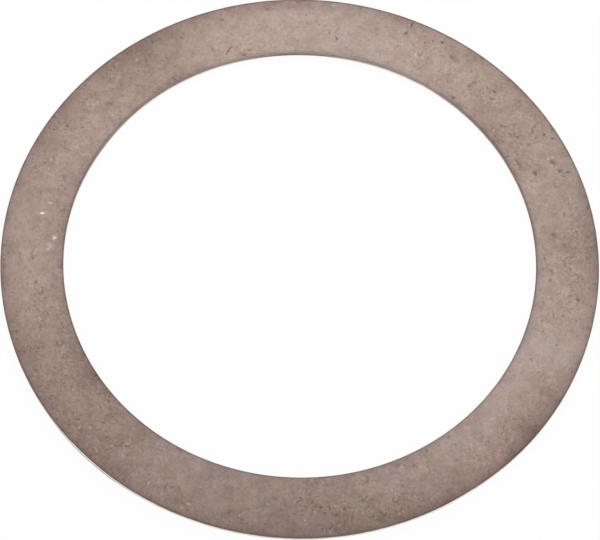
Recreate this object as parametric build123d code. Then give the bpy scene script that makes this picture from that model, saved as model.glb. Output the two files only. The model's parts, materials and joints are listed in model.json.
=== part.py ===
from build123d import *
from math import asin, cos, degrees, radians
import os

# A flat shim ring, punched in one stroke from cold-rolled strip, its burr dressed off and then tumbled.
# Millimetres. The origin is on the axis at the lower face, and +Z runs along the axis.

# The ring, named by the shaft and the housing that it goes between
shaft_diameter = 63.0
housing_diameter = 80.0
least_clearance = 0.1       # on the diameter, round the shaft and in the housing alike
thickness = 1.0

bore_radius = (shaft_diameter + least_clearance) / 2
outer_radius = (housing_diameter - least_clearance) / 2

# The punched edge, from the upper face down. One compound tool cuts the bore and the outside
# together, so both edges are drawn down at the upper face and torn at the lower one.
draw_width = 0.32           # the face curves down over this width before the metal shears
draw_radius = 0.55
tumbled_radius = 0.05       # on the corner between the drawn face and the land
land_height = 0.45          # the bright land, square to the faces, that the tool burnishes
fracture_step_back = 0.035  # how far the torn wall has run back from the land at the lower face
dressed_flat = 0.05         # cut where the burr stood


def punched_edge(wall_radius, outward):
    """The edge's profile from the upper face to the lower one, with the radius as x and the height as y.
    outward is 1 at the outside, where the metal ends away from the axis, and -1 at the bore."""
    draw_angle = degrees(asin(draw_width / draw_radius))
    draw_depth = draw_radius * (1 - cos(radians(draw_angle)))
    draw_start = (wall_radius - outward * draw_width, thickness)
    land_top = (wall_radius, thickness - draw_depth)
    land_foot = (wall_radius, thickness - draw_depth - land_height)
    torn_foot = (wall_radius - outward * fracture_step_back, 0)
    draw = JernArc(draw_start, (outward, 0), draw_radius, -outward * draw_angle)
    return draw + Line(land_top, land_foot) + Line(land_foot, torn_foot)


def ring_section():
    """The ring cut through on one side of its axis."""
    upper_face = Line((bore_radius + draw_width, thickness), (outer_radius - draw_width, thickness))
    lower_face = Line((bore_radius + fracture_step_back, 0), (outer_radius - fracture_step_back, 0))
    edges = punched_edge(outer_radius, outward=1) + punched_edge(bore_radius, outward=-1)
    section = make_face(edges + upper_face + lower_face)
    lower_corners = section.vertices().group_by(Axis.Y)[0]
    section = chamfer(lower_corners, length=dressed_flat)
    land_tops = section.vertices().group_by(Axis.Y)[-2]
    return fillet(land_tops, radius=tumbled_radius)


def shim_ring():
    return revolve(Plane.XZ * ring_section(), axis=Axis.Z)


ring = shim_ring()
ring.label = "shim_ring"

os.makedirs("parts", exist_ok=True)
export_step(ring, "parts/shim_ring.step")

print(f"shim_ring {2 * bore_radius:.1f} x {2 * outer_radius:.1f} x {thickness} mm, volume {ring.volume:.1f} mm3")
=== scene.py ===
import bmesh
import bpy
import json
import math
import numpy as np
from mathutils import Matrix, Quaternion, Vector, noise


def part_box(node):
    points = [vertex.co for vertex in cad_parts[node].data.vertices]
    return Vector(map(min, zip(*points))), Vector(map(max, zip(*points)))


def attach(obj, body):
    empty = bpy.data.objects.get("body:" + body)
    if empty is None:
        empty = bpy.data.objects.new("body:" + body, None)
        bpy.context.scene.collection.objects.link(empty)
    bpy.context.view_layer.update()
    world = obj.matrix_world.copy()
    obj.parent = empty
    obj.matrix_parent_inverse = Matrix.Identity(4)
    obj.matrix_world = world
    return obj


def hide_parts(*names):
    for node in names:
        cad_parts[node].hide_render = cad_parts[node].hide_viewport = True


# One flat shim ring lying on a pale floor, upper face to the camera.
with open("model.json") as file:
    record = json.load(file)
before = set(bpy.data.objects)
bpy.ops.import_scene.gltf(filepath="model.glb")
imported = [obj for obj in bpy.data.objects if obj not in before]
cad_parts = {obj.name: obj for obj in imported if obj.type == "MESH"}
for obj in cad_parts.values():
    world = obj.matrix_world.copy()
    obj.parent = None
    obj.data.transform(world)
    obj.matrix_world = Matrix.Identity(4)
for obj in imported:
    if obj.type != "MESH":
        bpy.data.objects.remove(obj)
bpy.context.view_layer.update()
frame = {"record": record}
mm = 0.001
print("frame loaded")


# the camera stands in front of the ring and looks down on it; angles are in degrees
cameraSet = {
    "aim": (0.057 * mm, -1.459 * mm, 0.5 * mm),  # a little in front of the ring's axis
    "distance": 480 * mm,
    "elevation": 64.1,
    "roll": 1.74,
    "lens": 215.9,
    "sensor": 36.0,
    "nearest": 0.01,
    "farthest": 10,
}


def makeCamera():
    data = bpy.data.cameras.new("camera")
    data.lens = cameraSet["lens"]
    data.sensor_width = cameraSet["sensor"]
    data.clip_start = cameraSet["nearest"]
    data.clip_end = cameraSet["farthest"]
    camera = bpy.data.objects.new("camera", data)
    bpy.context.scene.collection.objects.link(camera)
    elevation = math.radians(cameraSet["elevation"])
    back = Vector((0, -math.cos(elevation), math.sin(elevation)))
    camera.location = Vector(cameraSet["aim"]) + back * cameraSet["distance"]
    camera.rotation_mode = "QUATERNION"
    facing = back.to_track_quat("Z", "Y")
    camera.rotation_quaternion = facing @ Quaternion((0, 0, 1), math.radians(cameraSet["roll"]))
    bpy.context.scene.camera = camera


makeCamera()
print("camera placed")


# helpers that add shader nodes to a tree; sizes on the steel are in mm

seedStep = (37.1, 17.3, 5.7)         # one seed moves a pattern this far
channelFollow = (0.88, 1.0, 1.07)    # how far red, green and blue follow a change of tone


def addNode(tree, kind, sockets=None, **settings):
    node = tree.nodes.new("ShaderNode" + kind)
    for name, value in settings.items():
        setattr(node, name, value)
    for name, value in (sockets or {}).items():
        if isinstance(value, bpy.types.NodeSocket):
            tree.links.new(value, node.inputs[name])
        else:
            node.inputs[name].default_value = value
    return node


def maths(tree, operation, first, second=0.0):
    return addNode(tree, "Math", {0: first, 1: second}, operation=operation).outputs[0]


def times(tree, first, second):
    return maths(tree, "MULTIPLY", first, second)


def plus(tree, first, second):
    return maths(tree, "ADD", first, second)


def remap(tree, value, fromLow, fromHigh, toLow, toHigh):
    # eased in and out at both ends, and clamped to them
    sockets = {"Value": value, "From Min": fromLow, "From Max": fromHigh, "To Min": toLow, "To Max": toHigh}
    return addNode(tree, "MapRange", sockets, interpolation_type="SMOOTHSTEP").outputs[0]


def mixColour(tree, factor, first, second, blend="MIX"):
    settings = {"data_type": "RGBA", "blend_type": blend, "clamp_factor": False}
    node = addNode(tree, "Mix", {0: factor, 6: first, 7: second}, **settings)
    return node.outputs[2]


def scaledBy(tree, vector, factors):
    node = addNode(tree, "VectorMath", {0: vector, 1: factors}, operation="MULTIPLY")
    return node.outputs[0]


def shifted(tree, place, seed):
    shift = tuple(seed * step for step in seedStep)
    return addNode(tree, "VectorMath", {0: place, 1: shift}).outputs[0]


def noiseAt(tree, place, size, detail=2.0, roughness=0.5, seed=0.0, space="2D"):
    moved = shifted(tree, place, seed)
    sockets = {"Vector": moved, "Scale": 1 / size, "Detail": detail, "Roughness": roughness}
    return addNode(tree, "TexNoise", sockets, noise_dimensions=space).outputs["Fac"]


def swingAt(tree, place, size, reach, detail=2.0, roughness=0.5, seed=0.0, space="2D"):
    # noise about zero, times reach
    return times(tree, plus(tree, noiseAt(tree, place, size, detail, roughness, seed, space), -0.5), reach)


def specksAt(tree, place, size, share, reach, ragged, seed):
    # ragged spots in some of the cells of a scattered grid, from half to 1.2 times the reach
    sockets = {"Vector": shifted(tree, place, seed), "Scale": 1 / size}
    cells = addNode(tree, "TexVoronoi", sockets, voronoi_dimensions="2D")
    draws = addNode(tree, "SeparateColor", {0: cells.outputs["Color"]}).outputs
    picked = maths(tree, "LESS_THAN", draws[0], share)
    distance = plus(tree, cells.outputs["Distance"], ragged)
    outline = times(tree, plus(tree, times(tree, draws[1], 0.7), 0.5), reach)
    spot = remap(tree, maths(tree, "DIVIDE", distance, outline), 0.45, 1.15, 1.0, 0.0)
    return times(tree, spot, picked)


def bitsAt(tree, place, size, level, seed):
    # small hard-edged bits where a noise tops the level
    above = maths(tree, "SUBTRACT", noiseAt(tree, place, size, 2, 0.7, seed), level)
    return remap(tree, above, 0.0, 0.05, 0.0, 1.0)


def curlsAt(tree, place, size, width, seed):
    # short curling hairlines: pieces of a noise's own contour
    level = noiseAt(tree, place, size, 1.5, 0.5, seed)
    offLine = maths(tree, "ABSOLUTE", plus(tree, level, -0.5))
    line = remap(tree, offLine, 0.0, width, 1.0, 0.0)
    piece = remap(tree, noiseAt(tree, place, size * 0.9, 1, 0.5, seed + 0.5), 0.50, 0.62, 0.0, 1.0)
    return times(tree, line, piece)


def shaded(tree, colour, tone):
    # red follows the tone least and blue most, so darker steel is browner and lighter steel is paler
    off = plus(tree, tone, -1.0)
    channels = [plus(tree, times(tree, off, follow), 1.0) for follow in channelFollow]
    shade = addNode(tree, "CombineColor", dict(enumerate(channels))).outputs[0]
    return mixColour(tree, 1.0, colour, shade, "MULTIPLY")


def painted(tree, name):
    return addNode(tree, "Attribute", attribute_name=name).outputs["Fac"]


def startMaterial(name):
    material = bpy.data.materials.new(name)
    material.use_nodes = True
    tree = material.node_tree
    tree.nodes.clear()
    output = addNode(tree, "OutputMaterial")
    return material, tree, output


# the ring's section, from the same sizes as its solid

mounts = {mount["name"]: mount for mount in frame["record"]["mounts"]}
ringLow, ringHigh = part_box("shim_ring")

ring = {
    "boreRadius": mounts["bore"]["dims"]["r_mm"] * mm,
    "outerRadius": min(-ringLow.x, ringHigh.x, -ringLow.y, ringHigh.y),
    "thickness": ringHigh.z - ringLow.z,
    "drawWidth": 0.32 * mm,      # the drawn edge, seen from above
    "drawRadius": 0.55 * mm,
    "tumbledRadius": 0.05 * mm,  # on the corner between the drawn edge and the wall
    "landFoot": 0.447 * mm,      # the burnished land ends here and the torn wall starts
    "stepBack": 0.035 * mm,      # how far the torn wall has run back at its foot
    "dressedFlat": 0.05 * mm,    # cut at 45 degrees where the burr stood
    "columns": 1080,             # round the ring
    "faceRows": 26,              # across the upper face, and so on down the section
    "drawRows": 5,
    "cornerRows": 4,
    "landRows": 2,
    "tornRows": 4,
    "underRows": 8,
}


def edgeProfile():
    # (inset from the wall, height, zone) from the upper face down to the lower one
    draw, corner = ring["drawRadius"], ring["tumbledRadius"]
    across = ring["drawWidth"] - corner
    cornerHeight = ring["thickness"] - draw + math.sqrt((draw - corner) ** 2 - across**2)
    cornerStart = math.asin(across / (draw - corner))
    points = []
    for turn in np.linspace(0, cornerStart, ring["drawRows"] + 1):
        height = ring["thickness"] - draw * (1 - math.cos(turn))
        points.append((ring["drawWidth"] - draw * math.sin(turn), height, "face"))
    for turn in np.linspace(cornerStart, math.pi / 2, ring["cornerRows"] + 1)[1:]:
        points.append((corner - corner * math.sin(turn), cornerHeight + corner * math.cos(turn), "face"))
    for height in np.linspace(cornerHeight, ring["landFoot"], ring["landRows"] + 1)[1:]:
        points.append((0, height, "land"))
    for share in np.linspace(0, 1, ring["tornRows"] + 1)[1:]:
        height = ring["landFoot"] * (1 - share) + ring["dressedFlat"] * share
        points.append((ring["stepBack"] * share, height, "torn"))
    points.append((ring["stepBack"] + ring["dressedFlat"], 0, "torn"))
    return points


def ringSection():
    # the closed loop of (radius, height, zone); the zone is that of the stretch that ends at the point
    profile = edgeProfile()
    outer = [(ring["outerRadius"] - inset, height, zone) for inset, height, zone in profile]
    bore = [(ring["boreRadius"] + inset, height, zone) for inset, height, zone in profile]
    upperRadii = np.linspace(bore[0][0], outer[0][0], ring["faceRows"] + 1)[1:-1]
    underRadii = np.linspace(outer[-1][0], bore[-1][0], ring["underRows"] + 1)[1:-1]
    upper = [(radius, ring["thickness"], "face") for radius in upperRadii]
    under = [(radius, 0, "under") for radius in underRadii]
    zonesUpTheBore = ["under"] + [zone for _, _, zone in reversed(bore[1:])]
    up = [(point[0], point[1], zone) for point, zone in zip(reversed(bore), zonesUpTheBore)]
    return upper + outer + under + up


def revolve(loop):
    rows, columns = len(loop), ring["columns"]
    radius = np.array([point[0] for point in loop])
    height = np.array([point[1] for point in loop])
    angle = np.arange(columns) * 2 * math.pi / columns
    x = np.outer(np.cos(angle), radius)
    y = np.outer(np.sin(angle), radius)
    z = np.outer(np.ones(columns), height)
    points = np.stack([x, y, z], axis=2).reshape(-1, 3)
    slots = {"face": 0, "under": 1, "land": 2, "torn": 3}
    faces, kinds = [], []
    for column in range(columns):
        here, there = column * rows, (column + 1) % columns * rows
        for row in range(rows):
            nextRow = (row + 1) % rows
            faces.append((here + row, here + nextRow, there + nextRow, there + row))
            kinds.append(slots[loop[nextRow][2]])
    mesh = bpy.data.meshes.new("shimRing")
    mesh.from_pydata(points.tolist(), [], faces)
    mesh.polygons.foreach_set("material_index", kinds)
    mesh.update()
    return mesh


# Marks on the upper face: (angle round the ring, distance from the bore, length, width, turn, strength),
# in degrees and mm; the turn is from the direction that runs round the ring towards the bore.

wear = {
    "pitDepth": 0.014 * mm,
    "burnishDepth": 0.4,               # as a share of a pit's depth
    "lipHeight": 0.002 * mm,           # round a pit
    "raggedSizes": (0.32 * mm, 0.14 * mm),  # of the ups and downs in a mark's outline
    "waveDepth": 0.005 * mm,
    "waveSizes": (2.4 * mm, 0.8 * mm),
    "footWander": 0.05 * mm,           # the burnished land's ragged foot
    "footSizes": (2.6 * mm, 0.7 * mm),
    "stillTop": 0.08 * mm,             # below the upper face; nothing wanders above this
    "tornDepth": 0.012 * mm,
    "tornSize": 0.3 * mm,
    "outlineMargin": 0.12,             # mm round a mark where the mesh is refined too
    "outlineCuts": 3,
    "pits": [
        # brown smudges
        (7.8, 2.7, 1.2, 0.9, 10, 0.65), (6.2, 2.6, 1.6, 0.5, 0, 0.35), (22.3, 6.1, 1.1, 0.9, 60, 0.70),
        (24.8, 5.7, 1.6, 1.0, 35, 0.70), (24.0, 2.8, 1.2, 0.7, 10, 0.75), (27.5, 1.4, 2.0, 0.7, 0, 0.60),
        (57.0, 5.7, 2.4, 1.4, -10, 0.52), (68.6, 6.1, 1.1, 0.6, 80, 0.65), (44.5, 4.2, 0.9, 0.7, 0, 0.60),
        (51.1, 0.7, 0.8, 0.6, 0, 0.65), (33.2, 5.6, 1.1, 0.6, 120, 0.60),
        (139.6, 3.3, 1.9, 1.2, -30, 0.45), (98.3, 7.0, 1.0, 0.8, 0, 0.45),
        (189.0, 1.7, 1.0, 0.7, 0, 0.45), (245.0, 5.4, 1.0, 0.7, 20, 0.40),
        (257.6, 6.0, 1.3, 0.6, 0, 0.60), (276.6, 5.2, 0.9, 0.6, 0, 0.60), (29.6, 7.4, 1.2, 0.5, 40, 0.70),
        (21.6, 7.0, 1.0, 0.5, 90, 0.60), (157.4, 4.9, 1.1, 0.6, 20, 0.50),
        (284.9, 4.2, 1.0, 0.5, -20, 0.65), (291.2, 5.5, 1.0, 0.7, 0, 0.45),
        (260.3, 6.7, 0.9, 0.5, 0, 0.50), (105.5, 0.5, 1.3, 0.45, 0, 0.65),
        (264.0, 1.0, 0.8, 0.4, 0, 0.45), (201.9, 4.8, 0.8, 0.6, 30, 0.40),
        (241.8, 6.3, 0.8, 0.45, 20, 0.60),
        # dark dots
        (352.5, 5.75, 0.60, 0.52, 0, 0.95), (61.0, 7.0, 0.65, 0.58, 0, 1.00),
        (45.4, 5.35, 0.60, 0.50, 0, 1.00), (31.3, 6.7, 0.65, 0.50, 20, 0.85),
        (50.3, 4.4, 0.60, 0.45, 0, 0.55), (50.2, 3.7, 0.75, 0.50, 0, 0.36),
        (62.9, 6.6, 0.40, 0.40, 0, 0.80), (63.7, 3.7, 0.80, 0.50, 160, 0.55),
        (82.9, 2.5, 0.80, 0.45, 120, 0.80), (90.3, 5.9, 0.40, 0.35, 0, 0.75),
        (149.5, 5.7, 0.55, 0.40, 30, 0.75), (151.6, 7.0, 0.45, 0.40, 0, 0.75),
        (136.1, 2.9, 0.50, 0.45, 0, 0.60), (181.9, 4.0, 0.50, 0.45, 0, 0.62),
        (187.6, 3.7, 0.55, 0.45, 0, 0.75), (191.8, 2.8, 0.75, 0.50, -30, 0.45),
        (193.7, 6.8, 0.40, 0.36, 0, 1.00), (227.4, 7.1, 0.45, 0.34, 20, 1.00),
        (224.8, 3.5, 0.50, 0.45, 0, 0.80), (203.4, 5.8, 0.40, 0.35, 0, 0.70),
        (221.6, 1.2, 0.60, 0.50, 0, 0.65), (280.6, 4.8, 0.75, 0.50, 50, 1.00),
        (278.8, 5.55, 0.60, 0.42, 60, 0.85), (277.4, 4.3, 0.55, 0.45, 0, 0.55),
        (277.3, 7.4, 0.45, 0.40, 0, 0.80), (302.3, 0.8, 0.40, 0.35, 0, 0.80),
        (348.2, 4.2, 0.65, 0.45, 120, 0.55), (341.3, 4.6, 0.45, 0.40, 0, 0.65),
        (359.4, 4.5, 0.65, 0.45, 0, 0.60), (12.3, 4.6, 0.65, 0.55, 0, 0.50),
        (117.3, 5.9, 0.55, 0.45, 0, 0.65), (107.9, 6.5, 0.70, 0.40, 0, 0.60),
        (232.0, 3.9, 0.45, 0.40, 0, 0.75), (292.7, 5.6, 0.45, 0.42, 0, 0.75),
        (104.0, 1.0, 0.80, 0.45, 0, 0.50), (350.3, 5.2, 0.45, 0.40, 0, 0.55),
        # nicks along the outer corner
        (13.0, 7.95, 0.75, 0.38, 0, 1.00), (188.5, 7.90, 0.60, 0.36, 0, 0.80),
        (202.0, 7.90, 0.60, 0.36, 0, 0.78), (96.8, 7.90, 1.20, 0.32, 0, 0.50),
        (92.2, 7.90, 0.60, 0.32, 0, 0.60), (52.4, 7.95, 0.60, 0.34, 0, 0.50),
        (310.0, 7.95, 0.80, 0.34, 0, 0.60), (42.8, 7.90, 0.60, 0.32, 0, 0.40),
        # dark hairlines
        (109.0, 1.5, 1.9, 0.28, 50, 0.75), (108.1, 1.95, 0.8, 0.30, 20, 0.95),
        (189.4, 3.0, 1.3, 0.26, 0, 0.65), (189.1, 4.0, 2.6, 0.18, 40, 0.65),
        (274.2, 3.5, 1.1, 0.28, 60, 0.70), (275.2, 2.8, 0.9, 0.28, 15, 0.60),
        (281.8, 6.3, 1.9, 0.22, 75, 0.90), (280.1, 7.0, 1.2, 0.20, 75, 0.70),
        (68.3, 7.6, 1.2, 0.36, 90, 1.00), (1.8, 1.15, 1.7, 0.32, 8, 0.60),
        (26.6, 4.8, 1.0, 0.28, 60, 0.42), (59.4, 5.1, 0.6, 0.20, 45, 0.70),
        (216.8, 5.2, 1.0, 0.20, 50, 0.65), (348.0, 3.05, 1.0, 0.26, 25, 0.80),
        (181.7, 5.8, 1.4, 0.18, 15, 0.50), (203.2, 2.9, 1.3, 0.28, -10, 0.65),
        (84.9, 3.3, 1.2, 0.45, 92, 0.50), (83.3, 3.8, 1.0, 0.42, 60, 0.50),
        (37.4, 2.8, 0.8, 0.36, 55, 0.70), (112.3, 2.5, 0.9, 0.40, 90, 0.45),
        (113.8, 6.6, 0.9, 0.28, 60, 0.65), (213.5, 6.6, 1.2, 0.24, 75, 0.60),
        (246.2, 5.1, 0.9, 0.28, -40, 0.65), (358.3, 5.3, 0.6, 0.30, 45, 0.60),
    ],
    "brights": [
        # burnished spots and light scratches
        (170.8, 3.65, 0.64, 0.38, 97, 1.00), (176.6, 1.45, 0.80, 0.50, 15, 0.60),
        (178.5, 1.90, 1.1, 0.8, 20, 0.24), (179.6, 2.1, 0.5, 0.5, 0, 0.30),
        (168.0, 3.0, 0.75, 0.42, 95, 0.28), (249.4, 6.6, 0.50, 0.40, 0, 0.31),
        (128.1, 6.0, 0.60, 0.45, 40, 0.16), (223.7, 5.3, 0.55, 0.45, 0, 0.20),
        (152.6, 2.8, 0.50, 0.42, 0, 0.20), (291.0, 7.2, 0.40, 0.30, 0, 0.24),
        (297.8, 6.9, 0.40, 0.35, 0, 0.26), (272.6, 6.0, 0.30, 0.26, 0, 0.40),
        (24.4, 1.4, 0.35, 0.25, -30, 0.36), (134.5, 6.2, 0.36, 0.30, 0, 0.18),
        (259.9, 6.0, 2.2, 0.15, 43, 0.24), (232.9, 5.2, 1.0, 0.18, -25, 0.16),
        (84.6, 7.7, 1.2, 0.14, 10, 0.28), (95.4, 4.3, 1.0, 0.14, 60, 0.22),
        (142.1, 4.8, 0.40, 0.30, 0, 0.15), (319.0, 2.6, 0.9, 0.22, -30, 0.22),
        (317.2, 2.5, 0.7, 0.20, -60, 0.18), (240.4, 6.4, 0.35, 0.30, 0, 0.28),
        (25.9, 5.35, 0.40, 0.32, 0, 0.24), (26.0, 6.0, 0.45, 0.32, 30, 0.24),
        (229.7, 5.1, 0.45, 0.32, 0, 0.26),
    ],
    # soft areas: (angle, distance from the bore, reach round, reach across, amount), in degrees and mm
    "tone": [
        (325, 2.0, 12, 4.5, 0.22), (340, 6.0, 4.5, 3, 0.22), (310, 5.5, 4, 3, 0.12),
        (321, 7.6, 3, 1.6, -0.22), (353, 5.0, 5, 6, 0.12), (38, 1.0, 9, 3.5, -0.15),
        (125, 6.5, 6, 4, -0.19), (124, 1.0, 5, 3, -0.12), (184, 7.0, 11, 2.6, 0.18),
        (213, 0.6, 8, 1.6, -0.24), (172, 0.7, 6, 0.5, -0.08), (101, 7.8, 5, 1.2, -0.12),
        (276, 5.2, 6, 3, -0.12), (292, 2.2, 5, 2, 0.09), (241, 6.5, 3, 3, 0.07), (22, 7.2, 4, 2, 0.15),
        (171, 4.5, 13, 4, 0.12), (346, 7.2, 4, 1.6, 0.12), (20, 0.8, 4, 1.2, 0.12),
        (2, 1.3, 4, 1.5, 0.12), (127, 7.6, 6, 1.4, -0.08), (231, 3.0, 4, 6, -0.06),
        (222, 1.2, 2.5, 1.2, 0.12), (205, 0.6, 4, 0.8, -0.08), (296, 7.4, 6, 1.3, -0.16),
        (305, 1.8, 6, 2, 0.07), (328, 4.0, 4, 1.5, -0.08), (318, 8.0, 8, 0.6, -0.13),
        (264, 5.0, 6, 4, -0.07), (131, 4.0, 4, 2.5, -0.06), (340, 2.6, 5, 1.7, 0.13),
        (324, 0.7, 6, 1.2, 0.10), (30, 7.6, 3.5, 1.2, 0.11), (171, 7.6, 5, 1.7, 0.11),
        (190, 3.3, 5, 2.6, 0.11), (186, 0.6, 5, 0.9, 0.04), (352, 7.3, 5, 1.6, 0.07),
        (332, 6.8, 4, 1.4, 0.06), (150, 3.3, 3.5, 1.7, 0.09), (250, 6.8, 3.5, 1.2, 0.09),
        (240, 7.8, 3, 0.9, 0.08), (212, 6.6, 4, 1.4, 0.06), (35, 0.6, 5, 1.0, -0.06),
        (120, 0.5, 4, 0.9, -0.07), (120, 7.7, 5, 1.0, -0.08), (76, 7.8, 6, 0.9, -0.06),
        (20, 4.0, 4, 5, 0.07), (342, 7.2, 4, 1.8, 0.13), (0, 7.6, 4, 1.5, -0.09),
        (199, 4.0, 3, 1.6, -0.07), (95, 7.8, 7, 0.9, -0.08), (240, 2.6, 3, 1.3, 0.09),
        (11, 6.0, 3, 1.3, 0.08), (160, 0.9, 4, 1.3, -0.07), (190, 6.6, 4, 1.2, 0.08),
        (340, 1.4, 4, 0.8, 0.06), (96, 6.0, 6, 1.4, 0.06), (310, 7.3, 3, 0.8, 0.08),
        (54.5, 7.5, 1.2, 0.7, -0.09), (108, 4.2, 4, 0.9, 0.05), (141, 5.4, 3, 0.9, 0.05),
        (270, 6.7, 3, 0.8, 0.05),
    ],
    "tan": [
        (327, 1.5, 14, 3, -0.50), (150, 6.5, 5, 1.8, 0.30), (9, 1.5, 3, 2, 0.35), (33, 5.0, 5, 3, 0.30),
        (70, 1.5, 8, 2, -0.30), (246, 2.5, 6, 4, -0.25), (281, 7.0, 4, 1.5, 0.30), (139, 4.0, 4, 4, 0.30),
        (190, 3.0, 4, 4, 0.25), (209, 2.5, 4, 3, 0.25), (38, 0.6, 6, 0.8, -0.4), (337, 5.5, 5, 3, -0.30),
        (351, 5.0, 4, 4, 0.22), (95, 7.0, 9, 2.5, -0.5), (190, 2.6, 5, 2, -0.1), (328, 3.6, 7, 4, 0.45),
        (1, 3.0, 4, 3, 0.2), (51, 2.8, 4, 2.5, 0.35), (231, 7.6, 4, 1.2, 0.5), (201, 6.5, 4, 2, 0.4),
        (169.5, 1.4, 1.1, 0.8, 1.2), (270, 7.2, 5, 1.5, -0.5), (54.5, 7.5, 1.5, 1.0, 0.8),
    ],
    "russet": [
        (222, 6.8, 10, 2.5, 0.7), (88, 4.0, 14, 5, -0.7), (339, 5.5, 6, 3, -0.25), (194, 4.0, 5, 4, 0.2),
        (157, 4.0, 5, 5, 0.1), (218, 2.5, 6, 3, 0.55), (300, 7.0, 4, 1.5, 0.5), (330, 2.5, 5, 3, 0.2),
        (40, 5.0, 20, 6, -0.5), (122, 5.0, 6, 5, -0.5), (100, 7.2, 5, 1.6, 0.8), (243, 7.3, 4, 1.5, 0.7),
        (314.5, 6.8, 0.9, 0.8, 1.8), (107, 1.2, 0.9, 0.8, 1.5), (139.7, 7.6, 0.4, 0.3, 2.2),
        (296, 1.7, 0.9, 0.7, 1.3), (70.2, 1.5, 1.0, 0.8, 1.4), (60.5, 2.2, 1.0, 0.8, 0.5),
        (71.5, 4.5, 0.9, 0.6, 1.2), (1.5, 6.2, 1.2, 0.8, 0.5), (126.0, 7.5, 0.8, 0.5, 1.2),
        (144.9, 7.3, 0.8, 0.5, 1.2), (229.0, 7.8, 0.8, 0.5, 1.2), (63.6, 6.7, 0.8, 0.6, 1.2),
        (281.0, 7.3, 0.6, 0.5, 1.3),
    ],
    # where curls and specks crowd, and where the face is calm
    "crowd": [
        (4, 5.0, 7, 2.5, 0.14), (31, 5.5, 6, 3, 0.10), (49, 4.5, 4, 2.5, 0.08), (100, 4.0, 15, 4, -0.16),
        (18, 3.5, 4, 2.5, -0.14), (123, 5.0, 5, 4, -0.16), (172, 6.0, 6, 3, -0.08),
        (190, 4.0, 5, 2.5, 0.12), (212, 5.0, 9, 3, 0.14), (229, 5.0, 5, 2.5, 0.12),
        (245, 2.0, 8, 3, -0.18), (262, 4.0, 6, 3, -0.12), (276, 5.0, 4, 3, 0.04),
        (290, 4.5, 5, 2.5, 0.14), (312, 5.0, 6, 2.5, 0.08), (313, 1.6, 6, 1.2, -0.12),
        (325, 1.5, 6, 2, -0.12), (350, 4.5, 4, 3, 0.14), (27.3, 4.6, 1.2, 0.9, -0.25),
        (341, 5.0, 3, 3, -0.10), (142, 4.4, 5, 2.2, 0.10), (356, 2.0, 2.5, 1.2, -0.20),
        (146.5, 2.2, 2.5, 1.2, -0.20), (75, 4.0, 6, 4, -0.10),
    ],
    # the bore's far edge, towards the lamp, is painted lighter: painted light
    "litFarEdge": [(90, 0.1, 28, 0.35, 1.0)],
    # painted shade in the bore, on the far wall that faces away from the lamp
    "boreWallShade": [(93, 0, 10, 0.4, 1.0), (151, 0, 6, 0.4, 0.9)],
    # a burr left standing along the foot of the outer wall, with painted contact shadow along the foot
    "burr": [(226.5, 8.38, 7, 0.4, 1.7)],
    # the dark band of film and painted shade under the corners hangs lower (in mm) or, where negative,
    # higher on these stretches of wall
    "droop": [
        (275, 8.38, 13, 0.4, 0.13), (328, 8.38, 8, 0.4, 0.30), (208, 8.38, 8, 0.4, 0.22),
        (226, 8.38, 4, 0.4, -0.16), (305, 8.38, 4, 0.4, -0.15), (60, 0, 5, 0.4, -0.10),
    ],
}


def markCentre(mark):
    heading = math.radians(mark[0])
    radius = ring["boreRadius"] + mark[1] * mm
    return radius * math.cos(heading), radius * math.sin(heading)


def markReach(x, y, mark, margin=0.0):
    # 0 at a mark's middle and 1 on its outline
    centreX, centreY = markCentre(mark)
    along = math.radians(mark[0] + 90 + mark[4])
    dx, dy = x - centreX, y - centreY
    lengthwise = (dx * math.cos(along) + dy * math.sin(along)) / ((mark[2] / 2 + margin) * mm)
    crosswise = (dy * math.cos(along) - dx * math.sin(along)) / ((mark[3] / 2 + margin) * mm)
    return np.hypot(lengthwise, crosswise)


def raggedReach(points, mark):
    coarse, fine = wear["raggedSizes"]
    reach = markReach(points[:, 0], points[:, 1], mark)
    for index in np.flatnonzero(reach < 3):
        spot = Vector(points[index])
        reach[index] += 0.55 * noise.noise(spot / coarse) + 0.30 * noise.noise(spot / fine)
    return reach


def smooth(values, low, high):
    share = np.clip((values - low) / (high - low), 0, 1)
    return share * share * (3 - 2 * share)


def refineAroundMarks(mesh):
    # finer faces where the marks are, so that their shape is in the mesh
    shape = bmesh.new()
    shape.from_mesh(mesh)
    faces = [face for face in shape.faces if face.material_index == 0]
    middles = np.array([face.calc_center_median() for face in faces])
    near = np.zeros(len(faces), dtype=bool)
    for mark in wear["pits"] + wear["brights"]:
        near |= markReach(middles[:, 0], middles[:, 1], mark, wear["outlineMargin"]) < 1
    chosen = {edge for face, wanted in zip(faces, near) if wanted for edge in face.edges}
    bmesh.ops.subdivide_edges(shape, edges=list(chosen), cuts=wear["outlineCuts"], use_grid_fill=True)
    shape.to_mesh(mesh)
    shape.free()


def softArea(angles, fromBore, area):
    apart = np.abs((np.degrees(angles) - area[0] + 180) % 360 - 180)
    along = np.radians(apart) * (ring["boreRadius"] / mm + area[1]) / area[2]
    across = (fromBore - area[1]) / area[3]
    return area[4] * np.exp(-(along**2) - across**2)


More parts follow.
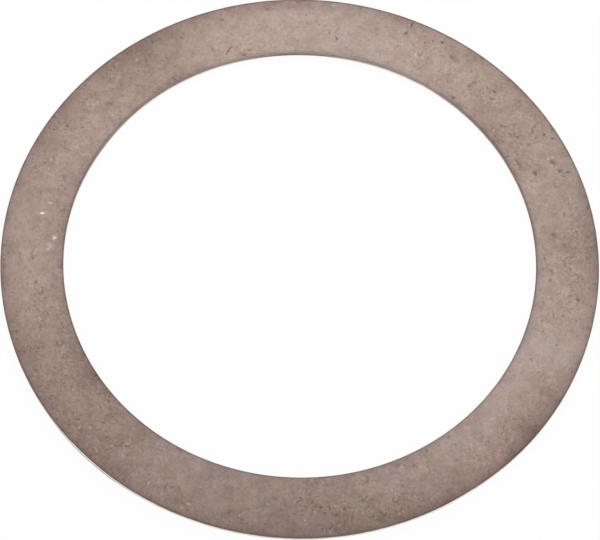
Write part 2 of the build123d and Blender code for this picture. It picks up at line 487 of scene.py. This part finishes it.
def roughenWalls(points, burr):
    # a burr fills the step at the wall's foot, the land's foot wanders up and down, and the torn wall
    # below it is pulled in by its grain
    radius = np.hypot(points[:, 0], points[:, 1])
    inner = radius < (ring["boreRadius"] + ring["outerRadius"]) / 2
    inset = np.where(inner, radius - ring["boreRadius"], ring["outerRadius"] - radius)
    foot, flat, step = ring["landFoot"], ring["dressedFlat"], ring["stepBack"]
    outerFoot = ~inner & (inset < 2 * flat) & (points[:, 2] < foot)
    filled = 1 + inset * np.clip(burr, 0, 1) / radius
    points[outerFoot, :2] *= filled[outerFoot, None]
    top = ring["thickness"] - wear["stillTop"]
    onWall = (inset < step + 0.002 * mm) & (points[:, 2] > flat * 0.9) & (points[:, 2] < top)
    coarse, fine = wear["footSizes"]
    for index in np.flatnonzero(onWall):
        x, y, z = points[index]
        side = 1 if inner[index] else -1
        spot = Vector((x, y, side * 9 * mm))  # one sway for the whole height of a wall, each wall its own
        sway = noise.noise(spot / coarse) + 0.6 * noise.noise(spot / fine)
        share = (z - flat) / (foot - flat) if z < foot else (top - z) / (top - foot)
        points[index, 2] = z + sway * wear["footWander"] * share
        if flat * 1.1 < z < foot * 0.98:
            grain = 0.5 + 0.5 * noise.noise(Vector((x, y, z)) / wear["tornSize"])
            scale = 1 + side * grain * wear["tornDepth"] / radius[index]
            points[index, 0] *= scale
            points[index, 1] *= scale


def waveDips(points, upper):
    # every point of the upper face lies a little low, which leaves room for the pits' lips
    coarse, fine = wear["waveSizes"]
    dip = np.zeros(len(points))
    for index in np.flatnonzero(upper):
        spot = Vector(points[index])
        swell = 0.6 * noise.noise(spot / coarse) + 0.4 * noise.noise(spot / fine)
        dip[index] = wear["waveDepth"] * (0.5 - 0.5 * swell) + wear["lipHeight"]
    return dip


def wearRing(mesh):
    # shapes the marks, and paints them and the soft areas on the points for the materials to read
    count = len(mesh.vertices)
    flatList = np.empty(count * 3)
    mesh.vertices.foreach_get("co", flatList)
    points = flatList.reshape(-1, 3)
    upper = points[:, 2] > ring["thickness"] - 0.01 * mm
    angles = np.arctan2(points[:, 1], points[:, 0])
    fromBore = np.hypot(points[:, 0], points[:, 1]) / mm - ring["boreRadius"] / mm
    stain, shine, dip = np.zeros(count), np.zeros(count), waveDips(points, upper)
    for mark in wear["pits"]:
        reach = raggedReach(points, mark)
        bottom = 1 - smooth(reach, 0.1, 1.3)
        lip = np.exp(-(((reach - 1.45) / 0.3) ** 2))
        dip += (wear["pitDepth"] * bottom * mark[5] - wear["lipHeight"] * lip) * upper
        stain = np.maximum(stain, bottom * upper * mark[5])
    for mark in wear["brights"]:
        reach = raggedReach(points, mark)
        bright = 1 - smooth(reach, 0.45, 1.2)
        dip += wear["pitDepth"] * wear["burnishDepth"] * bright * upper
        shine = np.maximum(shine, bright * upper * mark[5])
    points[:, 2] -= np.clip(dip, 0, None) * upper
    burr = sum((softArea(angles, fromBore, area) for area in wear["burr"]), np.zeros(count))
    roughenWalls(points, burr)
    mesh.vertices.foreach_set("co", points.ravel())
    layers = {"stain": stain, "shine": shine, "burr": burr}
    for name in ("tone", "tan", "russet", "crowd", "litFarEdge", "boreWallShade", "droop"):
        layers[name] = sum((softArea(angles, fromBore, area) for area in wear[name]), np.zeros(count))
    for name, values in layers.items():
        mesh.attributes.new(name, "FLOAT", "POINT").data.foreach_set("value", values)


def shapeRing():
    mesh = revolve(ringSection())
    refineAroundMarks(mesh)
    wearRing(mesh)
    mesh.shade_smooth()
    mesh.set_sharp_from_angle(angle=math.radians(30))
    mesh.update()
    piece = bpy.data.objects.new("shimRing", mesh)
    bpy.context.scene.collection.objects.link(piece)
    return piece


# the rolled faces

steel = {
    "cool": (0.382, 0.287, 0.2585, 1),      # the two ends that the steel drifts between
    "tan": (0.383, 0.287, 0.231, 1),
    "tanMiddle": 0.45,
    "russet": (1.045, 0.980, 0.996, 1),     # and a tint laid over both
    "russetMiddle": 0.05,
    "edgeTan": -0.40,                       # both fade towards the edges, which are greyer
    "edgeRusset": -0.60,
    "tanFade": (0.2, 1.4),                  # mm in from an edge
    "russetFade": (0.1, 0.5),
    "pitColour": (0.150, 0.100, 0.080, 1),  # film left in the bottom of a pit
    "pitFilm": 0.80,
    "brightColour": (0.92, 0.84, 0.74, 1),
    "metallic": 0.6,
    "faceRoughness": 0.50,
    "edgeRoughness": 0.80,                  # the drawn edges, dulled by the tumbling
    "dulledFade": (0.12, 0.42),             # mm in from an edge
    "bumpHeight": 0.012 * mm,
    "lean": 7.0,                            # mm that the patterns move for each mm of height
    "clouds": 0.28,                         # how far each kind of marking swings the tone
    "mottle": 0.45,
    "patches": 0.12,
    "bits": 0.14,
    "grain": 0.16,
    "crowdedGrain": 0.34,
    "curls": 0.45,
    "flecks": 0.26,
    "specks": 0.28,                         # how far the specks take the pits' colour
}

# the patterns on a rolled face; sizes are in mm, and a speck's or fleck's reach is a share of its cell
patterns = {
    "clouds": {"size": 7.0, "detail": 3, "roughness": 0.7, "seed": 1.0},
    "mottle": {"size": 2.4, "detail": 4, "roughness": 0.78, "seed": 2.0},
    "grain": {"size": 0.42, "detail": 2, "roughness": 0.6, "seed": 3.0},
    "filmWander": {"size": 3.0, "reach": 1.6, "detail": 2, "roughness": 0.6, "seed": 4.0},
    "tanDrift": {"size": 4.0, "reach": 2.3, "detail": 4, "roughness": 0.75, "seed": 5.0},
    "russetDrift": {"size": 4.5, "reach": 2.7, "detail": 4, "roughness": 0.75, "seed": 7.0},
    "crowding": {"size": 3.2, "detail": 2, "roughness": 0.6, "seed": 8.0},
    "ragged": {"size": 0.35, "reach": 0.35, "detail": 2, "roughness": 0.6, "seed": 9.0},
    "curls": {"size": 0.95, "width": 0.030, "seed": 11.0},
    "paleCurls": {"size": 1.05, "width": 0.026, "seed": 12.0},
    "specks": {"size": 0.85, "share": 0.30, "reach": 0.26, "seed": 13.0},
    "sparseSpecks": {"size": 1.9, "share": 0.35, "reach": 0.20, "seed": 14.0},
    "flecks": {"size": 1.2, "share": 0.22, "reach": 0.15, "seed": 15.0},
    "patches": {"size": 1.9, "detail": 3, "roughness": 0.65, "seed": 31.0},
    "darkBits": {"size": 0.55, "seed": 32.0},
    "paleBits": {"size": 0.45, "seed": 33.0},
}

# darkening towards the edges, tumbling film and, in the rims, painted shade on the rounded corners: (how
# much it darkens, how far it reaches in mm)
filmsAndShade = {
    "outer": (0.34, 1.9),
    # painted shade on the outer rounded corner
    "outerRimShade": (0.16, 0.10),
    "bore": (0.30, 0.40),
    # painted shade on the bore's rounded corner
    "boreRimShade": (0.26, 0.10),
    "litFarEdgeShare": 1.8,  # how much of the bore's film and rim shade is taken off where the far edge is painted lighter
}


def ringPlace(tree):
    # place in mm, and the distances in from the outer wall and out from the bore
    place = scaledBy(tree, addNode(tree, "TexCoord").outputs["Object"], (1 / mm, 1 / mm, 1 / mm))
    fromAxis = {0: scaledBy(tree, place, (1, 1, 0))}
    radius = addNode(tree, "VectorMath", fromAxis, operation="LENGTH").outputs["Value"]
    inward = maths(tree, "SUBTRACT", ring["outerRadius"] / mm, radius)
    outward = maths(tree, "SUBTRACT", radius, ring["boreRadius"] / mm)
    return place, inward, outward


def edgeFilmAndShade(tree, flat, inward, outward):
    # how much the films and the painted rim shade darken the steel towards both edges
    def filmAndShade(distance, name):
        amount, reach = filmsAndShade[name]
        share = maths(tree, "EXPONENT", times(tree, distance, -1 / reach))
        return times(tree, share, amount)

    wandering = plus(tree, inward, swingAt(tree, flat, **patterns["filmWander"]))
    outer = plus(tree, filmAndShade(wandering, "outer"), filmAndShade(inward, "outerRimShade"))
    # painted light: the bore's far edge keeps less of its darkening
    left = maths(tree, "SUBTRACT", 1.0, times(tree, painted(tree, "litFarEdge"), filmsAndShade["litFarEdgeShare"]))
    bore = plus(tree, filmAndShade(outward, "bore"), filmAndShade(outward, "boreRimShade"))
    return plus(tree, outer, times(tree, bore, left))


def faceColour(tree, flat, nearEdge):
    tanShare = plus(tree, swingAt(tree, flat, **patterns["tanDrift"]), steel["tanMiddle"])
    tanShare = plus(tree, tanShare, remap(tree, nearEdge, *steel["tanFade"], steel["edgeTan"], 0.0))
    tanShare = plus(tree, tanShare, painted(tree, "tan"))
    russetShare = plus(tree, swingAt(tree, flat, **patterns["russetDrift"]), steel["russetMiddle"])
    fade = remap(tree, nearEdge, *steel["russetFade"], steel["edgeRusset"], 0.0)
    russetShare = plus(tree, plus(tree, russetShare, fade), painted(tree, "russet"))
    colour = mixColour(tree, tanShare, steel["cool"], steel["tan"])
    tint = mixColour(tree, russetShare, (1, 1, 1, 1), steel["russet"])
    return mixColour(tree, 1.0, colour, tint, "MULTIPLY")


def faceMarks(tree, flat):
    # the small markings crowd in patches, with calmer steel between them
    crowding = plus(tree, noiseAt(tree, flat, **patterns["crowding"]), painted(tree, "crowd"))
    crowd = remap(tree, crowding, 0.38, 0.66, 0.0, 1.0)
    bitLevel = maths(tree, "SUBTRACT", 0.61, times(tree, crowd, 0.06))
    ragged = swingAt(tree, flat, **patterns["ragged"])
    specks = specksAt(tree, flat, ragged=ragged, **patterns["specks"])
    sparseSpecks = specksAt(tree, flat, ragged=ragged, **patterns["sparseSpecks"])
    return {
        "crowd": crowd,
        "someCrowd": plus(tree, times(tree, crowd, 0.8), 0.2),
        "ragged": ragged,
        "mottle": noiseAt(tree, flat, **patterns["mottle"]),
        "patches": remap(tree, noiseAt(tree, flat, **patterns["patches"]), 0.42, 0.58, -0.5, 0.5),
        "darkBits": bitsAt(tree, flat, level=bitLevel, **patterns["darkBits"]),
        "paleBits": bitsAt(tree, flat, level=bitLevel, **patterns["paleBits"]),
        "grain": noiseAt(tree, flat, **patterns["grain"]),
        "curls": curlsAt(tree, flat, **patterns["curls"]),
        "paleCurls": curlsAt(tree, flat, **patterns["paleCurls"]),
        "specks": plus(tree, specks, sparseSpecks),
        "flecks": specksAt(tree, flat, ragged=ragged, **patterns["flecks"]),
    }


def faceTone(tree, flat, marks, filmAndShade):
    # how light the steel is, where 1 leaves its colour alone
    tone = plus(tree, swingAt(tree, flat, reach=steel["clouds"], **patterns["clouds"]), 1.0)
    tone = plus(tree, tone, times(tree, plus(tree, marks["mottle"], -0.5), steel["mottle"]))
    tone = plus(tree, tone, times(tree, marks["patches"], steel["patches"]))
    bits = maths(tree, "SUBTRACT", marks["paleBits"], marks["darkBits"])
    tone = plus(tree, tone, times(tree, bits, steel["bits"]))
    grainReach = plus(tree, times(tree, marks["crowd"], steel["crowdedGrain"]), steel["grain"])
    tone = plus(tree, tone, times(tree, plus(tree, marks["grain"], -0.5), grainReach))
    tone = plus(tree, tone, painted(tree, "tone"))
    curls = maths(tree, "SUBTRACT", marks["curls"], times(tree, marks["paleCurls"], 0.6))
    curls = times(tree, curls, marks["crowd"])
    tone = maths(tree, "SUBTRACT", tone, times(tree, curls, steel["curls"]))
    flecks = times(tree, marks["flecks"], marks["someCrowd"])
    tone = plus(tree, tone, times(tree, flecks, steel["flecks"]))
    return times(tree, tone, maths(tree, "SUBTRACT", 1.0, filmAndShade))


def faceBump(tree, marks, pits):
    height = plus(tree, times(tree, marks["mottle"], 0.8), times(tree, marks["grain"], 0.3))
    scrapes = plus(tree, times(tree, marks["curls"], marks["crowd"]), marks["darkBits"])
    hollows = plus(tree, plus(tree, pits, marks["specks"]), times(tree, scrapes, 0.5))
    height = maths(tree, "SUBTRACT", height, times(tree, hollows, 0.5))
    return addNode(tree, "Bump", {"Height": height, "Distance": steel["bumpHeight"]}).outputs[0]


def makeFaceSteel():
    material, tree, output = startMaterial("rolledSteel")
    place, inward, outward = ringPlace(tree)
    parts = addNode(tree, "SeparateXYZ", {0: place}).outputs
    lean = times(tree, parts["Z"], steel["lean"])  # gives the lower face marks of its own
    leaned = {0: plus(tree, parts["X"], lean), 1: plus(tree, parts["Y"], lean)}
    flat = addNode(tree, "CombineXYZ", leaned).outputs[0]
    nearEdge = maths(tree, "MINIMUM", inward, outward)
    marks = faceMarks(tree, flat)
    tone = faceTone(tree, flat, marks, edgeFilmAndShade(tree, flat, inward, outward))
    colour = shaded(tree, faceColour(tree, flat, nearEdge), tone)

    stain, shine = painted(tree, "stain"), painted(tree, "shine")
    pits = remap(tree, plus(tree, stain, times(tree, marks["ragged"], 1.6)), 0.02, 0.95, 0.0, 1.0)
    pits = times(tree, pits, maths(tree, "GREATER_THAN", stain, 0.001))
    specks = times(tree, times(tree, marks["specks"], marks["someCrowd"]), steel["specks"])
    brown = plus(tree, times(tree, pits, steel["pitFilm"]), specks)
    colour = mixColour(tree, brown, colour, steel["pitColour"])
    colour = mixColour(tree, shine, colour, steel["brightColour"])

    bump = faceBump(tree, marks, pits)
    edgeMore = steel["edgeRoughness"] - steel["faceRoughness"]
    dulled = remap(tree, nearEdge, *steel["dulledFade"], edgeMore, 0.0)
    roughness = plus(tree, times(tree, plus(tree, marks["mottle"], -0.5), 0.2), steel["faceRoughness"])
    roughness = plus(tree, plus(tree, roughness, dulled), times(tree, pits, 0.15))
    shader = addNode(tree, "BsdfPrincipled", {"Base Color": colour, "Normal": bump, "Roughness": roughness})
    shader.inputs["Metallic"].default_value = steel["metallic"]
    tree.links.new(shader.outputs[0], output.inputs[0])
    return material


# The sheared walls: a burnished land over a torn band, outside and in the bore. Heights are in mm
# above the lower face.

walls = {
    "filmAndShadeFoot": 0.67,       # the dark band under the corners, partly tumbling film and partly painted shade, reaches down to here
    "boreShadeFoot": 0.44,   # in the bore the band is painted shade on the wall that faces away from the lamp, down to here
    "filmAndShadeSoftness": 0.07,
    # the band's colours: outside film with painted shade, in the bore painted shade
    "filmAndShade": (0.180, 0.138, 0.127, 1),
    "boreShade": (0.275, 0.207, 0.182, 1),
    # painted shade colour, for the bore's far wall and the outer wall's foot
    "paintedShade": (0.125, 0.093, 0.081, 1),
    "footShadeTop": 0.28,       # painted contact shadow up the wall's foot, over the burr, to here
    "footShadeSoftness": 0.10,
    "boreSide": 4.0,        # mm from the bore; what is nearer than this is the bore's wall
    "bumpHeight": 0.006 * mm,
    "metallic": 0.85,
}

# each wall's marks have a size in mm, a stretch along the punch's stroke and a contrast, and
# the last entry is how much of the painted shade in the bore it takes
wallLooks = {
    "burnishedLand": {
        "colour": (0.87, 0.82, 0.78, 1),
        "roughness": 0.30,
        "markSize": 0.16,
        "stretch": 0.10,
        "contrast": 0.5,
        "takesShade": 0.12,
    },
    "tornWall": {
        "colour": (0.86, 0.79, 0.74, 1),
        "roughness": 0.45,
        "markSize": 0.13,
        "stretch": 0.70,
        "contrast": 0.9,
        "takesShade": 1.0,
    },
}


def makeWallSteel(name):
    look = wallLooks[name]
    material, tree, output = startMaterial(name)
    place, _, outward = ringPlace(tree)
    height = addNode(tree, "SeparateXYZ", {0: place}).outputs["Z"]
    drawn = scaledBy(tree, place, (1, 1, look["stretch"]))
    marks = noiseAt(tree, drawn, look["markSize"], 3, 0.65, 21.0, "3D")
    tone = plus(tree, times(tree, plus(tree, marks, -0.5), look["contrast"]), 1.0)
    tone = plus(tree, tone, swingAt(tree, place, 3.0, 0.35, 3, 0.6, 22.0, "3D"))

    # the dark band's edge, film and painted shade, is at one height once the wander, the bore and the droop
    # are taken into account
    inBore = maths(tree, "LESS_THAN", outward, walls["boreSide"])
    edge = plus(tree, height, swingAt(tree, place, 0.9, 0.22, 3, 0.6, 23.0, "3D"))
    edge = plus(tree, edge, times(tree, inBore, walls["filmAndShadeFoot"] - walls["boreShadeFoot"]))
    edge = plus(tree, edge, painted(tree, "droop"))
    bandLow, bandHigh = walls["filmAndShadeFoot"] - walls["filmAndShadeSoftness"], walls["filmAndShadeFoot"] + walls["filmAndShadeSoftness"]
    filmAndShade = remap(tree, edge, bandLow, bandHigh, 0.0, 1.0)
    filmAndShadeColour = mixColour(tree, inBore, walls["filmAndShade"], walls["boreShade"])

    # painted contact shadow along the foot of the outer wall, where the burr stands
    footShadeLow = walls["footShadeTop"] - walls["footShadeSoftness"]
    footShade = times(tree, remap(tree, height, footShadeLow, walls["footShadeTop"], 1.0, 0.0), painted(tree, "burr"))
    # painted shade on the bore's far wall
    paintedShade = times(tree, painted(tree, "boreWallShade"), look["takesShade"])
    paintedShade = maths(tree, "MINIMUM", maths(tree, "MAXIMUM", paintedShade, footShade), 1.0)
    colour = mixColour(tree, paintedShade, look["colour"], walls["paintedShade"])
    colour = shaded(tree, mixColour(tree, filmAndShade, colour, filmAndShadeColour), tone)

    sockets = {"Height": marks, "Distance": walls["bumpHeight"], "Strength": 0.7}
    bump = addNode(tree, "Bump", sockets).outputs[0]
    roughness = plus(tree, times(tree, plus(tree, marks, -0.5), 0.4), look["roughness"])
    roughness = plus(tree, roughness, times(tree, filmAndShade, 0.2))
    shader = addNode(tree, "BsdfPrincipled", {"Base Color": colour, "Normal": bump, "Roughness": roughness})
    shader.inputs["Metallic"].default_value = walls["metallic"]
    tree.links.new(shader.outputs[0], output.inputs[0])
    return material


ringPiece = shapeRing()
faceSteel = makeFaceSteel()
ringPiece.data.materials.append(faceSteel)
ringPiece.data.materials.append(faceSteel)
ringPiece.data.materials.append(makeWallSteel("burnishedLand"))
ringPiece.data.materials.append(makeWallSteel("tornWall"))
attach(ringPiece, "root")
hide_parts("shim_ring")
print("ring built:", sum(len(face.vertices) - 2 for face in ringPiece.data.polygons), "triangles")


# floor, dome and lamp, in metres and watts
studio = {
    "floorSize": 6.0,
    "floorDrop": 0.02 * mm,                # just clear of the ring's lower face
    "floorColour": (0.92, 0.92, 0.92, 1),
    "floorGlow": 0.93,                     # the rest of what the camera sees of the floor is lit paper
    "overhead": 0.2,                       # the dome's strength where it is dimmest; elsewhere it is 1
    "overheadDirection": (0, 0.44, 0.90),
    "overheadSpread": (0.7, 1.0),          # cosines of the angle from that direction
    "keyPlace": (0.010, 0.150, 0.150),
    "keySize": 0.12,
    "keyPower": 0.118,
}


def makeFloor():
    half = studio["floorSize"] / 2
    mesh = bpy.data.meshes.new("floor")
    corners = [(-half, -half, 0), (half, -half, 0), (half, half, 0), (-half, half, 0)]
    mesh.from_pydata(corners, [], [(0, 1, 2, 3)])
    floor = bpy.data.objects.new("floor", mesh)
    floor.location.z = -studio["floorDrop"]
    bpy.context.scene.collection.objects.link(floor)
    material, tree, output = startMaterial("paleFloor")
    # white to the camera and in the steel, and still lit paper enough to keep the ring's shadow
    paper = addNode(tree, "BsdfDiffuse", {"Color": studio["floorColour"]}).outputs[0]
    white = addNode(tree, "Emission", {"Color": (1, 1, 1, 1), "Strength": 1.0}).outputs[0]
    clear = addNode(tree, "BsdfTransparent").outputs[0]
    path = addNode(tree, "LightPath")
    mirrored = maths(tree, "MAXIMUM", path.outputs["Is Glossy Ray"], path.outputs["Is Transmission Ray"])
    seen = times(tree, path.outputs["Is Camera Ray"], studio["floorGlow"])
    glow = maths(tree, "MAXIMUM", seen, mirrored)
    lit = addNode(tree, "MixShader", {0: glow, 1: paper, 2: white}).outputs[0]
    # clear from below, so that the ring's lower face can be looked at
    under = addNode(tree, "NewGeometry").outputs["Backfacing"]
    fromBelow = times(tree, under, path.outputs["Is Camera Ray"])
    surface = addNode(tree, "MixShader", {0: fromBelow, 1: lit, 2: clear}).outputs[0]
    tree.links.new(surface, output.inputs[0])
    mesh.materials.append(material)


def makeWorld():
    # a white dome, dimmer behind the ring where the upper face mirrors it
    world = bpy.data.worlds.new("studio")
    bpy.context.scene.world = world
    world.use_nodes = True
    tree = world.node_tree
    tree.nodes.clear()
    output = addNode(tree, "OutputWorld")
    direction = addNode(tree, "TexCoord").outputs["Generated"]
    sockets = {0: direction, 1: studio["overheadDirection"]}
    facing = addNode(tree, "VectorMath", sockets, operation="DOT_PRODUCT").outputs["Value"]
    dome = remap(tree, facing, *studio["overheadSpread"], 1.0, studio["overhead"])
    seen = addNode(tree, "LightPath").outputs["Is Camera Ray"]
    strength = maths(tree, "MAXIMUM", dome, seen)
    back = addNode(tree, "Background", {"Color": (1, 1, 1, 1), "Strength": strength})
    tree.links.new(back.outputs[0], output.inputs[0])


def addLamp(name, place, size, power):
    # a square lamp that faces the ring
    data = bpy.data.lights.new(name, "AREA")
    data.size = size
    data.energy = power
    lamp = bpy.data.objects.new(name, data)
    lamp.location = place
    lamp.rotation_mode = "QUATERNION"
    lamp.rotation_quaternion = Vector(place).to_track_quat("Z", "Y")
    lamp.visible_camera = False
    bpy.context.scene.collection.objects.link(lamp)


makeFloor()
makeWorld()
addLamp("key", studio["keyPlace"], studio["keySize"], studio["keyPower"])
bpy.context.scene.view_settings.view_transform = "Standard"
print("studio lit")
